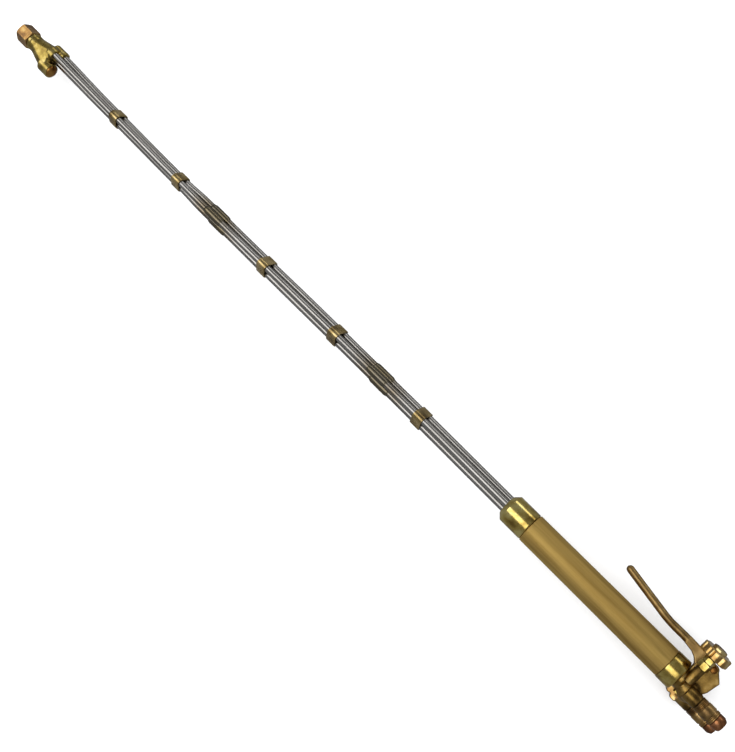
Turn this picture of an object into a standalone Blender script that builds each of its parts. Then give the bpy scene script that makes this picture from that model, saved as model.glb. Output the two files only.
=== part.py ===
"""Long three-tube oxy-fuel hand cutting torch, as an assembly of separate pieces.

The torch lies along X with its tip nut at -X and its hose inlets at +X. The lever is on the +Y
side. It lies on its side, so +Z points up from the surface, and the origin is under the middle
of its box. Sizes are in millimetres, and MM turns them into Blender's metres. Stations along
the torch are counted from the front face of the tip nut.
"""

import math

import bmesh
import bpy
from mathutils import Matrix, Vector

MM = 0.001
GAP = 0.3                      # between touching pieces

# Overall
LENGTH = 1113.0                # tip nut face to the end of the inlets
AXIS_Y = -11.18                # torch axis, sideways from the middle of the box
AXIS_Z = 43.0                  # torch axis above the surface it lies on

# Gas tubes, 5/16 inch stock, and how the bundle runs:
# station, distance of the tubes from the bundle's centre, twist in degrees, sideways bend
TUBE_RADIUS = 3.97
TUBE_BORE = 2.8
TUBE_ANGLES = {"fuel_gas": 97.0, "preheat_oxygen": -23.0, "cutting_oxygen": 217.0}
BUNDLE = [
    (54.0, 6.0, 0.0, 2.6),
    (92.0, 5.65, 0.0, 1.9),
    (143.0, 5.1, -2.0, 0.9),
    (227.0, 4.8, -2.0, 0.0),
    (277.0, 4.8, 0.0, -0.6),
    (318.0, 4.9, 0.0, -0.7),
    (346.0, 6.2, 0.0, -0.7),
    (404.0, 6.2, 2.0, -0.6),
    (475.0, 6.4, -1.0, -0.3),
    (531.0, 6.6, -2.0, 0.2),
    (611.0, 6.3, -3.0, 0.6),
    (721.0, 6.5, -4.0, 0.75),
    (833.0, 6.4, -5.0, 0.45),
    (1043.0, 5.7, -7.0, 0.0),
]
TUBE_END = 1042.0              # in the sockets of the valve body's nose

SLEEVE_LENGTH = 25.0
SLEEVE_RADIUS = 5.1
SLEEVE_CENTRES = {
    "fuel_gas": (373.8, 643.5),
    "preheat_oxygen": (373.5, 644.5),
    "cutting_oxygen": (380.4, 649.5),
}

BAND_WIDTH = 12.7
BAND_WALL = 1.1
BAND_CENTRES = (187.0, 307.0, 460.0, 576.0, 707.0)

# Head
NUT_FLATS = 22.0
NUT_LENGTH = 21.3
NUT_MOUTH_RADIUS = 7.6
HEAD_Y = -4.7                  # nut and collar, sideways from the torch axis
NOSE_RADIUS = 9.1
COLLAR_RADIUS = 10.6
COLLAR_END = 33.5
NECK_RADIUS = 10.3             # of the flare where it leaves the collar
BOSS_START = 55.0              # where the flare ends in the two rear bosses
TUBE_BOSS_CENTRE = (0.4, 0.8)
TUBE_BOSS_RADIUS = 10.4
TUBE_BOSS_END = 64.5
PLUG_BOSS_Y = -15.6
PLUG_BOSS_RADIUS = 9.2
PLUG_FLARE_END = 63.0          # the flare runs further on the plug's side
PLUG_BOSS_END = 72.0
PLUG_RADIUS = 7.4
PLUG_START = 66.0
PLUG_END = 76.0
TUBE_COLLAR_RADIUS = 6.4       # boss round the upper tube
TUBE_START = 54.0              # in the head's sockets

# Handle
HANDLE_RADIUS = 16.1
HANDLE_WALL = 1.8
CAP_START = 833.0
BARREL_START = 865.0
FERRULE_START = 1042.3
FERRULE_RADIUS = 16.6
FERRULE_END = 1057.8
SPIGOT_LENGTH = 9.0            # of the cap and the ferrule inside the barrel

# Valve body
BODY_START = 1035.0
BODY_NOSE_RADIUS = 10.6
SHOULDER_RADIUS = 11.9
BALL_CENTRE = (1071.8, -4.2)
BALL_RADIUS = 11.9
LUG_OUTLINE = [
    (1059.2, -3.0), (1059.2, 19.5), (1064.0, 26.5), (1070.5, 30.0), (1077.0, 29.6),
    (1081.5, 25.2), (1086.6, 20.0), (1084.3, 6.5), (1080.0, -3.0),
]
LUG_HALF_WIDTH = 6.8
SLOT_HALF_WIDTH = 4.5
SLOT_OUTLINE = [                # deep round the cutting valve, shallow under the lever's eye
    (1050.0, 12.3), (1071.0, 12.3), (1071.0, 18.3), (1100.0, 18.3), (1100.0, 45.0), (1050.0, 45.0),
]
ARM_RADIUS = 7.8
ARM_END = 1084.0
INLETS = {"oxygen": (-5.9, 8.6), "fuel": (-12.4, -9.0)}     # y, z of each inlet's axis

# Lever
PIVOT = (1074.5, 25.6)
LEVER_ROD_RADIUS = 4.0
LEVER_ROD = [(959.8, 39.7), (1009.0, 31.2), (1015.0, 30.3), (1021.0, 30.0), (1046.0, 29.8)]
LEVER_HALF_WIDTH = 4.1
EYE_RADIUS = 5.6
PIN_RADIUS = 2.3
PIN_HEAD_RADIUS = 3.4
FOOT_CENTRE = (1065.8, 20.8)
FOOT_RADIUS = 3.3

# Cutting oxygen valve, stations along Y from the torch axis
CUT_X = 1065.8
CUT_BORE = 3.9
CUT_BOSS_RADIUS = 6.3
CUT_BOSS_TOP = 12.0
CUT_FLANGE_RADIUS = 4.2
STEM_RADIUS = 1.9              # of the plunger
SPRING_START = -9.2

# Needle valves, stations along each valve's own axis from its base
PREHEAT_BOSS_RADIUS = 5.0
FUEL_BOSS_RADIUS = 6.6
VALVE_BOSS_END = 14.0
BONNET_FLATS = 10.7
GLAND_FLATS = 9.8
SPINDLE_RADIUS = 2.1
BONNET_END = 21.5
GLAND_END = 27.4
KNOB_START = 28.4
KNOB_RIM_END = 37.3            # of the lobes; the hub runs on
KNOB_END = 40.5
KNOB_HUB_RADIUS = 7.2
KNOB_RADIUS = 14.8
KNOB_LOBES = 8
KNOB_SCALLOP = 2.2
PREHEAT_BASE = (1065.3, 4.7, 10.0)
PREHEAT_TILT = math.radians(10.0)
FUEL_BASE = (1071.0, -6.8, -2.5)

# Hose inlets
HOUSING_RADIUS = 8.1
HOUSING_END = 1103.6
END_NUT_RADIUS = 7.7
CHECK_SPRING_START = ARM_END + GAP + 3.3

BRASS = ((0.60, 0.42, 0.14), 0.25, 1.0)
SATIN_BRASS = ((0.50, 0.34, 0.12), 0.45, 1.0)
STEEL = ((0.42, 0.40, 0.38), 0.3, 1.0)
BRONZE = ((0.22, 0.14, 0.07), 0.45, 1.0)
COPPER = ((0.36, 0.18, 0.09), 0.35, 1.0)
RUBBER = ((0.03, 0.03, 0.03), 0.8, 0.0)

X_AXIS = Vector((1, 0, 0))
Y_AXIS = Vector((0, 1, 0))
Z_AXIS = Vector((0, 0, 1))

for old in list(bpy.data.objects):
    bpy.data.objects.remove(old, do_unlink=True)

parts = bpy.data.collections.new("cutting_torch")
cutters = bpy.data.collections.new("cutters")
bpy.context.scene.collection.children.link(parts)
bpy.context.scene.collection.children.link(cutters)

torch = bpy.data.objects.new("torch_axis", None)
torch.location = Vector((-LENGTH / 2, AXIS_Y, AXIS_Z)) * MM
parts.objects.link(torch)


def finish_material(name, finish):
    """A Principled material of the piece's own."""
    colour, roughness, metallic = finish
    material = bpy.data.materials.new(name)
    material.use_nodes = True
    shader = material.node_tree.nodes["Principled BSDF"]
    shader.inputs["Base Color"].default_value = (*colour, 1.0)
    shader.inputs["Roughness"].default_value = roughness
    shader.inputs["Metallic"].default_value = metallic
    return material


def place(name, data, finish, origin=(0, 0, 0), direction=None):
    """Puts a piece, or a cutter where finish is None, on the torch's axis frame."""
    piece = bpy.data.objects.new(name, data)
    piece.parent = torch
    piece.location = Vector(origin) * MM
    if direction is not None:
        piece.rotation_mode = "QUATERNION"
        piece.rotation_quaternion = Vector(direction).to_track_quat("Z", "Y")
    if finish is None:
        cutters.objects.link(piece)
        piece.hide_render = True
        piece.display_type = "WIRE"
    else:
        parts.objects.link(piece)
        data.materials.append(finish_material(name, finish))
    return piece


def boolean(piece, tool, operation):
    """Cuts or joins with a tool object, exactly."""
    step = piece.modifiers.new(tool.name, "BOOLEAN")
    step.operation = operation
    step.solver = "EXACT"
    step.object = tool


def turned(name, finish, outer, inner=None, origin=(0, 0, 0), direction=X_AXIS, steps=24):
    """A turned piece. outer and inner are (station, radius) pairs from low to high."""
    if inner:
        profile = list(reversed(outer)) + list(inner)
    else:
        profile = [(outer[-1][0], 0.0)] + list(reversed(outer)) + [(outer[0][0], 0.0)]
    mesh = bpy.data.meshes.new(name)
    shape = bmesh.new()
    points = [shape.verts.new((radius * MM, 0, station * MM)) for station, radius in profile]
    for first, second in zip(points, points[1:]):
        shape.edges.new((first, second))
    if inner:
        shape.edges.new((points[-1], points[0]))
    shape.to_mesh(mesh)
    shape.free()
    piece = place(name, mesh, finish, origin, direction)
    screw = piece.modifiers.new("turn", "SCREW")
    screw.steps = steps
    screw.render_steps = steps
    screw.use_merge_vertices = True
    screw.merge_threshold = 0.00001
    return piece


def outline_mesh(name, loops, low, high):
    """A flat outline with holes, filled and extruded from low to high along Z, as a closed mesh."""
    curve = bpy.data.curves.new(name, "CURVE")
    curve.dimensions = "2D"
    curve.fill_mode = "BOTH"
    curve.extrude = (high - low) / 2 * MM
    for loop in loops:
        spline = curve.splines.new("POLY")
        spline.points.add(len(loop) - 1)
        for point, (across, up) in zip(spline.points, loop):
            point.co = (across * MM, up * MM, 0, 1)
        spline.use_cyclic_u = True
    return curve_to_mesh(name, curve, (low + high) / 2 * MM)


def curve_to_mesh(name, curve, lift=0.0):
    """The curve's evaluated mesh, with its caps welded."""
    source = bpy.data.objects.new(name, curve)
    bpy.context.scene.collection.objects.link(source)
    evaluated = source.evaluated_get(bpy.context.evaluated_depsgraph_get())
    mesh = bpy.data.meshes.new_from_object(evaluated)
    bpy.data.objects.remove(source, do_unlink=True)
    shape = bmesh.new()
    shape.from_mesh(mesh)
    bmesh.ops.remove_doubles(shape, verts=shape.verts, dist=0.000005)
    bmesh.ops.translate(shape, verts=shape.verts, vec=(0, 0, lift))
    bmesh.ops.recalc_face_normals(shape, faces=shape.faces)
    shape.to_mesh(mesh)
    shape.free()
    return mesh


def swept_mesh(name, points, radius, resolution, scales=None):
    """A round bar along a row of points, with filled caps, as a closed mesh."""
    curve = bpy.data.curves.new(name, "CURVE")
    curve.dimensions = "3D"
    curve.bevel_depth = radius * MM
    curve.bevel_resolution = resolution
    curve.use_fill_caps = True
    spline = curve.splines.new("POLY")
    spline.points.add(len(points) - 1)
    for index, point in enumerate(points):
        spline.points[index].co = (*(Vector(point) * MM), 1)
        spline.points[index].radius = scales[index] if scales else 1.0
    return curve_to_mesh(name, curve)


def circle(radius, count, across=0.0, up=0.0):
    """Points round a circle."""
    turns = [math.tau * index / count for index in range(count)]
    return [(across + radius * math.cos(a), up + radius * math.sin(a)) for a in turns]


def rod(name, radius, start, end, direction, origin=(0, 0, 0), steps=24):
    """A plain cylinder to cut or join with."""
    return turned(name, None, [(start, radius), (end, radius)], None, origin, direction, steps)


def hex_piece(name, finish, flats, start, end, origin, direction):
    """A hexagonal bar across the given flats, with two flats facing up and down."""
    mesh = bpy.data.meshes.new(name)
    shape = bmesh.new()
    corner = flats / math.sqrt(3)
    bmesh.ops.create_cone(
        shape, cap_ends=True, segments=6, radius1=corner * MM, radius2=corner * MM,
        depth=(end - start) * MM,
    )
    turn = Matrix.Rotation(math.radians(30.0), 4, "Z")
    bmesh.ops.transform(shape, verts=shape.verts, matrix=turn)
    bmesh.ops.translate(shape, verts=shape.verts, vec=(0, 0, (start + end) / 2 * MM))
    shape.to_mesh(mesh)
    shape.free()
    return place(name, mesh, finish, origin, direction)


def bundle_at(station):
    """Tube distance, twist and bend of the bundle at a station, between the stated ones."""
    for low, high in zip(BUNDLE, BUNDLE[1:]):
        if low[0] <= station <= high[0]:
            share = (station - low[0]) / (high[0] - low[0])
            return [a + (b - a) * share for a, b in zip(low[1:], high[1:])]
    return list((BUNDLE[0] if station < BUNDLE[0][0] else BUNDLE[-1])[1:])


def tube_knot(tube, station):
    """Centre of a tube at one of the bundle's own stations."""
    distance, twist, bend = bundle_at(station)
    angle = math.radians(TUBE_ANGLES[tube] + twist)
    return Vector((station, bend + distance * math.cos(angle), distance * math.sin(angle)))


def tube_point(tube, station):
    """Centre of a tube at any station: straight between the bundle's stations."""
    for low, high in zip(BUNDLE, BUNDLE[1:]):
        if low[0] <= station <= high[0]:
            share = (station - low[0]) / (high[0] - low[0])
            return tube_knot(tube, low[0]).lerp(tube_knot(tube, high[0]), share)
    return tube_knot(tube, station)


def tube_path(tube, start, end, overrun=0.0):
    """The tube's centre line from one station to another, run on past both ends."""
    stations = [start] + [row[0] for row in BUNDLE if start < row[0] < end] + [end]
    points = [tube_point(tube, station) for station in stations]
    if overrun:
        points[0] = points[0] + (points[0] - points[1]).normalized() * overrun
        points[-1] = points[-1] + (points[-1] - points[-2]).normalized() * overrun
    return points


# Head
nut = hex_piece("tip_nut", BRASS, NUT_FLATS, 0.0, NUT_LENGTH, (0, HEAD_Y, 0), X_AXIS)
boolean(nut, turned(
    "nut_bore", None,
    [(-1.0, NUT_MOUTH_RADIUS), (3.0, NUT_MOUTH_RADIUS), (3.0, NOSE_RADIUS + GAP),
     (NUT_LENGTH + 1.0, NOSE_RADIUS + GAP)],
    origin=(0, HEAD_Y, 0)), "DIFFERENCE")

head = turned(
    "head_body", BRASS,
    [(3.3, NOSE_RADIUS - 0.6), (4.0, NOSE_RADIUS), (NUT_LENGTH + GAP, NOSE_RADIUS),
     (NUT_LENGTH + GAP, COLLAR_RADIUS - 0.8), (NUT_LENGTH + 1.4, COLLAR_RADIUS),
     (COLLAR_END - 2.0, COLLAR_RADIUS), (COLLAR_END, NOSE_RADIUS)],
    origin=(0, HEAD_Y, 0))


def flare():
    """The forging's flare, the hull of its neck and its two rear bosses."""
    mesh = bpy.data.meshes.new("flare")
    shape = bmesh.new()
    rings = [
        (COLLAR_END - 3.0, HEAD_Y, 0.0, NECK_RADIUS),
        (BOSS_START + 2.0, *TUBE_BOSS_CENTRE, TUBE_BOSS_RADIUS - 0.4),
        (PLUG_FLARE_END, PLUG_BOSS_Y, 0.0, PLUG_BOSS_RADIUS - 0.3),
    ]
    for station, side, height, radius in rings:
        for across, up in circle(radius, 24, side, height):
            shape.verts.new(Vector((station, across, up)) * MM)
    bmesh.ops.convex_hull(shape, input=shape.verts)
    bmesh.ops.recalc_face_normals(shape, faces=shape.faces)
    shape.to_mesh(mesh)
    shape.free()
    return place("flare", mesh, None)


boolean(head, flare(), "UNION")
boolean(head, rod("tube_boss", TUBE_BOSS_RADIUS, BOSS_START, TUBE_BOSS_END, X_AXIS,
                  (0, *TUBE_BOSS_CENTRE), 28), "UNION")
boolean(head, rod("plug_boss", PLUG_BOSS_RADIUS, BOSS_START, PLUG_BOSS_END, X_AXIS, (0, PLUG_BOSS_Y, 0)),
        "UNION")
upper_tube = tube_point("preheat_oxygen", 66.0)
boolean(head, rod("tube_collar", TUBE_COLLAR_RADIUS, 52.0, 71.5, X_AXIS, (0, upper_tube.y, upper_tube.z), 20),
        "UNION")
for tube in TUBE_ANGLES:
    socket = swept_mesh(tube + "_socket", tube_path(tube, TUBE_START - GAP, 80.0), TUBE_RADIUS + GAP, 3)
    boolean(head, place(tube + "_socket", socket, None), "DIFFERENCE")
boolean(head, turned(
    "tip_socket", None, [(0.0, 7.4), (3.3, 7.2), (17.0, 4.4), (17.0, 2.5), (34.0, 2.5)],
    origin=(0, HEAD_Y, 0), steps=20), "DIFFERENCE")
boolean(head, rod("plug_bore", PLUG_RADIUS + GAP, PLUG_START - GAP, PLUG_BOSS_END + 5.0, X_AXIS,
                  (0, PLUG_BOSS_Y, 0), 20), "DIFFERENCE")
turned(
    "head_plug", COPPER,
    [(PLUG_START, PLUG_RADIUS), (PLUG_END - 3.4, PLUG_RADIUS), (PLUG_END - 2.0, PLUG_RADIUS - 1.1),
     (PLUG_END - 0.8, PLUG_RADIUS - 3.0), (PLUG_END, PLUG_RADIUS - 5.6)],
    origin=(0, PLUG_BOSS_Y, 0), steps=20)

# Tubes with their splice sleeves
for tube, (front_splice, rear_splice) in SLEEVE_CENTRES.items():
    lengths = {
        "front": (TUBE_START, front_splice - GAP / 2),
        "middle": (front_splice + GAP / 2, rear_splice - GAP / 2),
        "rear": (rear_splice + GAP / 2, TUBE_END),
    }
    for length, (start, end) in lengths.items():
        name = f"{tube}_tube_{length}"
        solid = place(name, swept_mesh(name, tube_path(tube, start, end), TUBE_RADIUS, 3), STEEL)
        bore_path = tube_path(tube, start, end, overrun=1.0)
        bore = place(name + "_bore", swept_mesh(name + "_bore", bore_path, TUBE_BORE, 2), None)
        boolean(solid, bore, "DIFFERENCE")
    for length, centre in (("front", front_splice), ("rear", rear_splice)):
        half = SLEEVE_LENGTH / 2
        direction = tube_point(tube, centre + half) - tube_point(tube, centre - half)
        turned(
            f"{tube}_sleeve_{length}", STEEL,
            [(-half, SLEEVE_RADIUS - 0.6), (2.0 - half, SLEEVE_RADIUS),
             (half - 2.0, SLEEVE_RADIUS), (half, SLEEVE_RADIUS - 0.6)],
            [(-half, TUBE_RADIUS + GAP), (half, TUBE_RADIUS + GAP)],
            tube_point(tube, centre), direction, 18)


def strap_outline(station, offset):
    """Three arcs round the tubes at a station, as points across the torch."""
    bend = bundle_at(station)[2]
    ordered = sorted(
        (tube_point(tube, station) for tube in TUBE_ANGLES),
        key=lambda point: math.atan2(point.z, point.y - bend),
    )
    points = []
    for centre in ordered:
        middle = math.atan2(centre.z, centre.y - bend)
        for step in range(9):
            angle = middle + math.radians(-60.0 + 15.0 * step)
            points.append((
                centre.y + (TUBE_RADIUS + offset) * math.cos(angle),
                centre.z + (TUBE_RADIUS + offset) * math.sin(angle),
            ))
    return points


def across_torch(mesh, station):
    """Turns a mesh drawn in XY along Z so that it lies across the torch at a station."""
    for vert in mesh.vertices:
        along, side, up = vert.co.z, vert.co.x, vert.co.y
        vert.co = (along + station * MM, side, up)


# Bands
for index, station in enumerate(BAND_CENTRES, start=1):
    name = f"tube_band_{index}"
    loops = [strap_outline(station, GAP + 0.1 + BAND_WALL), strap_outline(station, GAP + 0.1)]
    strap = outline_mesh(name, loops, -BAND_WIDTH / 2, BAND_WIDTH / 2)
    across_torch(strap, station)
    place(name, strap, BRASS)

# Handle
bore = HANDLE_RADIUS - HANDLE_WALL
cap = turned(
    "handle_front_cap", BRASS,
    [(CAP_START, 10.9), (CAP_START + 5.0, HANDLE_RADIUS - 0.2),
     (BARREL_START - GAP, HANDLE_RADIUS - 0.2), (BARREL_START - GAP, bore - GAP),
     (BARREL_START + SPIGOT_LENGTH, bore - GAP)],
    [(CAP_START, 2.0), (CAP_START + 5.0, 2.0), (CAP_START + 5.0, bore - 2.3),
     (BARREL_START + SPIGOT_LENGTH, bore - 2.3)],
    steps=32)
for tube in TUBE_ANGLES:
    through = tube_path(tube, CAP_START - 4.0, CAP_START + 7.0)
    hole = swept_mesh(tube + "_cap_hole", through, TUBE_RADIUS + GAP, 3)
    boolean(cap, place(tube + "_cap_hole", hole, None), "DIFFERENCE")
turned(
    "handle_barrel", SATIN_BRASS,
    [(BARREL_START, HANDLE_RADIUS), (FERRULE_START - GAP, HANDLE_RADIUS)],
    [(BARREL_START, bore), (FERRULE_START - GAP, bore)],
    steps=32)
turned(
    "handle_rear_ferrule", BRASS,
    [(FERRULE_START - SPIGOT_LENGTH, bore - GAP), (FERRULE_START, bore - GAP),
     (FERRULE_START, FERRULE_RADIUS), (FERRULE_END - 0.6, FERRULE_RADIUS),
     (FERRULE_END, FERRULE_RADIUS - 0.6)],
    [(FERRULE_START - SPIGOT_LENGTH, BODY_NOSE_RADIUS + GAP), (FERRULE_END, BODY_NOSE_RADIUS + GAP)],
    steps=32)

# Valve body
preheat_axis = Vector((0, math.cos(PREHEAT_TILT), math.sin(PREHEAT_TILT)))
fuel_axis = -Z_AXIS
body = turned(
    "valve_body", BRASS,
    [(BODY_START, BODY_NOSE_RADIUS), (FERRULE_END + GAP, BODY_NOSE_RADIUS),
     (FERRULE_END + GAP, SHOULDER_RADIUS), (1062.0, SHOULDER_RADIUS), (1064.0, SHOULDER_RADIUS - 1.4)],
    steps=24)
ball = bpy.data.meshes.new("ball")
shape = bmesh.new()
bmesh.ops.create_uvsphere(shape, u_segments=24, v_segments=14, radius=BALL_RADIUS * MM)
shape.to_mesh(ball)
shape.free()
boolean(body, place("ball", ball, None, (BALL_CENTRE[0], BALL_CENTRE[1], 0.0)), "UNION")
boolean(body, rod("cutting_boss", CUT_BOSS_RADIUS, -2.0, CUT_BOSS_TOP, Y_AXIS, (CUT_X, 0, 0), 20), "UNION")
boolean(body, rod("preheat_boss", PREHEAT_BOSS_RADIUS, -4.0, VALVE_BOSS_END, preheat_axis, PREHEAT_BASE, 20),
        "UNION")
boolean(body, rod("fuel_boss", FUEL_BOSS_RADIUS, -1.0, VALVE_BOSS_END, fuel_axis, FUEL_BASE, 20), "UNION")
lug = outline_mesh("lug", [LUG_OUTLINE], -LUG_HALF_WIDTH, LUG_HALF_WIDTH)
boolean(body, place("lug", lug, None), "UNION")
for gas, (side, up) in INLETS.items():
    boolean(body, rod(gas + "_arm", ARM_RADIUS, 1070.5, ARM_END, X_AXIS, (0, side, up), 22), "UNION")
slot = outline_mesh("slot", [SLOT_OUTLINE], -SLOT_HALF_WIDTH, SLOT_HALF_WIDTH)
boolean(body, place("slot", slot, None), "DIFFERENCE")
boolean(body, rod("cutting_bore", CUT_BORE, -20.0, CUT_BOSS_TOP + 5.0, Y_AXIS, (CUT_X, 0, 0), 18),
        "DIFFERENCE")
for gas, base, direction in (("preheat", PREHEAT_BASE, preheat_axis), ("fuel", FUEL_BASE, fuel_axis)):
    boolean(body, rod(gas + "_chamber", 3.7, 2.5, VALVE_BOSS_END + 4.0, direction, base, 16), "DIFFERENCE")
for gas, (side, up) in INLETS.items():
    boolean(body, rod(gas + "_inlet_bore", 5.2, 1076.0, ARM_END + 4.0, X_AXIS, (0, side, up), 16),
            "DIFFERENCE")
for tube in TUBE_ANGLES:
    socket = swept_mesh(
        tube + "_nose_socket", tube_path(tube, BODY_START - 4.0, TUBE_END + GAP), TUBE_RADIUS + GAP, 3)
    boolean(body, place(tube + "_nose_socket", socket, None), "DIFFERENCE")

boolean(body, rod("pin_hole", PIN_RADIUS + GAP, -12.0, 12.0, Z_AXIS, (*PIVOT, 0), 16), "DIFFERENCE")

# Cutting oxygen valve, along Y
cut = {"origin": (CUT_X, 0, 0), "direction": Y_AXIS}
cut_wall = CUT_BORE - GAP
turned("cutting_plunger", STEEL, [(0.8, STEM_RADIUS), (16.6, STEM_RADIUS), (17.2, STEM_RADIUS - 0.6)],
       steps=14, **cut)
turned(
    "cutting_gland", BRASS,
    [(8.5, cut_wall), (CUT_BOSS_TOP + GAP * 2, cut_wall), (CUT_BOSS_TOP + GAP * 2, CUT_FLANGE_RADIUS),
     (14.2, CUT_FLANGE_RADIUS), (14.6, CUT_FLANGE_RADIUS - 0.4)],
    [(8.5, STEM_RADIUS + GAP), (14.6, STEM_RADIUS + GAP)], steps=18, **cut)
turned("cutting_plunger_seal", RUBBER, [(6.2, cut_wall), (8.2, cut_wall)],
       [(6.2, STEM_RADIUS + GAP), (8.2, STEM_RADIUS + GAP)], steps=14, **cut)
turned("cutting_seat", BRASS, [(0.8, cut_wall), (3.0, cut_wall)], [(0.8, 2.5), (3.0, 2.5)], steps=14, **cut)
turned("cutting_poppet", STEEL, [(-2.5, 3.2), (0.0, 3.2), (0.5, 2.8)], steps=14, **cut)
turned("cutting_bore_plug", BRASS, [(-14.3, cut_wall), (SPRING_START - 0.4, cut_wall)], steps=18, **cut)


def spring(name, radius, wire, start, end, turns, origin, direction):
    """A coil spring along an axis."""
    count = turns * 8
    points = []
    for index in range(count + 1):
        angle = math.tau * turns * index / count
        height = start + wire + (end - start - 2 * wire) * index / count
        points.append((radius * math.cos(angle), radius * math.sin(angle), height))
    return place(name, swept_mesh(name, points, wire, 1), STEEL, origin, direction)


spring("cutting_spring", 2.5, 0.45, SPRING_START, -2.8, 4, (CUT_X, 0, 0), Y_AXIS)

# Lever and its pin
rod_points = [(x, y, 0.0) for x, y in LEVER_ROD]
tip = Vector(rod_points[0])
run = (Vector(rod_points[1]) - tip).normalized()
rounding = [(-3.9, 0.3), (-3.4, 0.55), (-2.2, 0.84), (0.0, 0.98)]
start_points = [tuple(tip + run * offset) for offset, _ in rounding]
scales = [share for _, share in rounding] + [1.0] * (len(rod_points) - 1)
lever_rod = swept_mesh("lever", start_points + rod_points[1:], LEVER_ROD_RADIUS, 3, scales)
lever = place("lever", lever_rod, BRONZE, (0, 0, 0))


def arc(centre, radius, first, last, count):
    """Points on an arc, in degrees, ends included."""
    angles = [math.radians(first + (last - first) * index / (count - 1)) for index in range(count)]
    return [(centre[0] + radius * math.cos(a), centre[1] + radius * math.sin(a)) for a in angles]


root_outline = (
    [(1040.0, 25.5), (1050.0, 24.0), (1054.5, 22.0), (1057.4, 19.5), (1058.7, 17.9), (1060.5, 17.4)]
    + arc(FOOT_CENTRE, FOOT_RADIUS, 255.0, 335.0, 5)
    + arc(PIVOT, EYE_RADIUS, 250.0, 460.0, 12)
    + [(1066.0, 31.8), (1054.0, 33.4), (1040.0, 34.1)]
)
root = outline_mesh("lever_root", [root_outline], -LEVER_HALF_WIDTH, LEVER_HALF_WIDTH)
boolean(lever, place("lever_root", root, None), "UNION")
boolean(lever, rod("lever_hole", PIN_RADIUS + GAP, -12.0, 12.0, Z_AXIS, (*PIVOT, 0), 16), "DIFFERENCE")
cheek = LUG_HALF_WIDTH + GAP
turned("lever_pin", COPPER,
       [(-cheek - 1.3, PIN_RADIUS), (cheek, PIN_RADIUS), (cheek, PIN_HEAD_RADIUS),
        (cheek + 0.7, PIN_HEAD_RADIUS), (cheek + 1.0, PIN_HEAD_RADIUS - 0.5)],
       origin=(*PIVOT, 0), direction=Z_AXIS, steps=16)
turned("lever_pin_clip", COPPER, [(-cheek - 1.0, PIN_HEAD_RADIUS), (-cheek, PIN_HEAD_RADIUS)],
       [(-cheek - 1.0, PIN_RADIUS + GAP), (-cheek, PIN_RADIUS + GAP)],
       origin=(*PIVOT, 0), direction=Z_AXIS, steps=16)


def knob_outline():
    """A round knob with shallow scallops between its lobes."""
    count = KNOB_LOBES * 6
    points = []
    for index in range(count):
        angle = math.tau * index / count
        radius = KNOB_RADIUS - KNOB_SCALLOP * (0.5 - 0.5 * math.cos(KNOB_LOBES * angle)) ** 3
        points.append((radius * math.cos(angle), radius * math.sin(angle)))
    return points


# Needle valves
for gas, base, direction in (("preheat", PREHEAT_BASE, preheat_axis), ("fuel", FUEL_BASE, fuel_axis)):
    clearance = SPINDLE_RADIUS + GAP
    stem = {"origin": base, "direction": direction}
    boss_end = VALVE_BOSS_END + GAP
    bonnet = hex_piece(gas + "_bonnet", BRASS, BONNET_FLATS, boss_end, BONNET_END, base, direction)
    boolean(bonnet, rod(gas + "_bonnet_shank", 3.4, 7.0, boss_end + 1.0, direction, base, 16), "UNION")
    boolean(bonnet, turned(
        gas + "_bonnet_bore", None,
        [(6.0, clearance), (18.6, clearance), (18.6, 4.3), (BONNET_END + 1.0, 4.3)],
        steps=16, **stem), "DIFFERENCE")
    turned(gas + "_packing", RUBBER, [(18.9, 4.0), (BONNET_END - 0.4, 4.0)],
           [(18.9, clearance), (BONNET_END - 0.4, clearance)], steps=16, **stem)
    gland_start = BONNET_END + GAP
    gland_nut = hex_piece(gas + "_gland_nut", BRASS, GLAND_FLATS, gland_start, GLAND_END, base, direction)
    gland_bore = rod(gas + "_gland_bore", clearance, gland_start - 1.0, GLAND_END + 1.0, direction, base, 16)
    boolean(gland_nut, gland_bore, "DIFFERENCE")
    turned(gas + "_spindle", STEEL, [(7.2, SPINDLE_RADIUS), (KNOB_END - 3.2, SPINDLE_RADIUS)],
           steps=14, **stem)
    turned(gas + "_needle", STEEL, [(2.9, 0.6), (4.6, 1.7), (5.6, 1.7)], steps=12, **stem)
    wheel = outline_mesh(gas + "_knob", [knob_outline()], KNOB_START, KNOB_RIM_END)
    knob = place(gas + "_knob", wheel, BRASS, base, direction)
    boolean(knob, rod(gas + "_knob_hub", KNOB_HUB_RADIUS, KNOB_START + 1.0, KNOB_END, direction, base, 20),
            "UNION")
    boolean(knob, turned(
        gas + "_knob_bore", None,
        [(KNOB_START - 1.0, clearance), (KNOB_END - 2.9, clearance),
         (KNOB_END - 2.4, 4.6), (KNOB_END + 1.0, 4.6)],
        steps=16, **stem), "DIFFERENCE")
    turned(gas + "_knob_screw", STEEL, [(KNOB_END - 2.1, 3.9), (KNOB_END - 0.8, 3.9), (KNOB_END - 0.4, 3.2)],
           steps=16, **stem)

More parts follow.
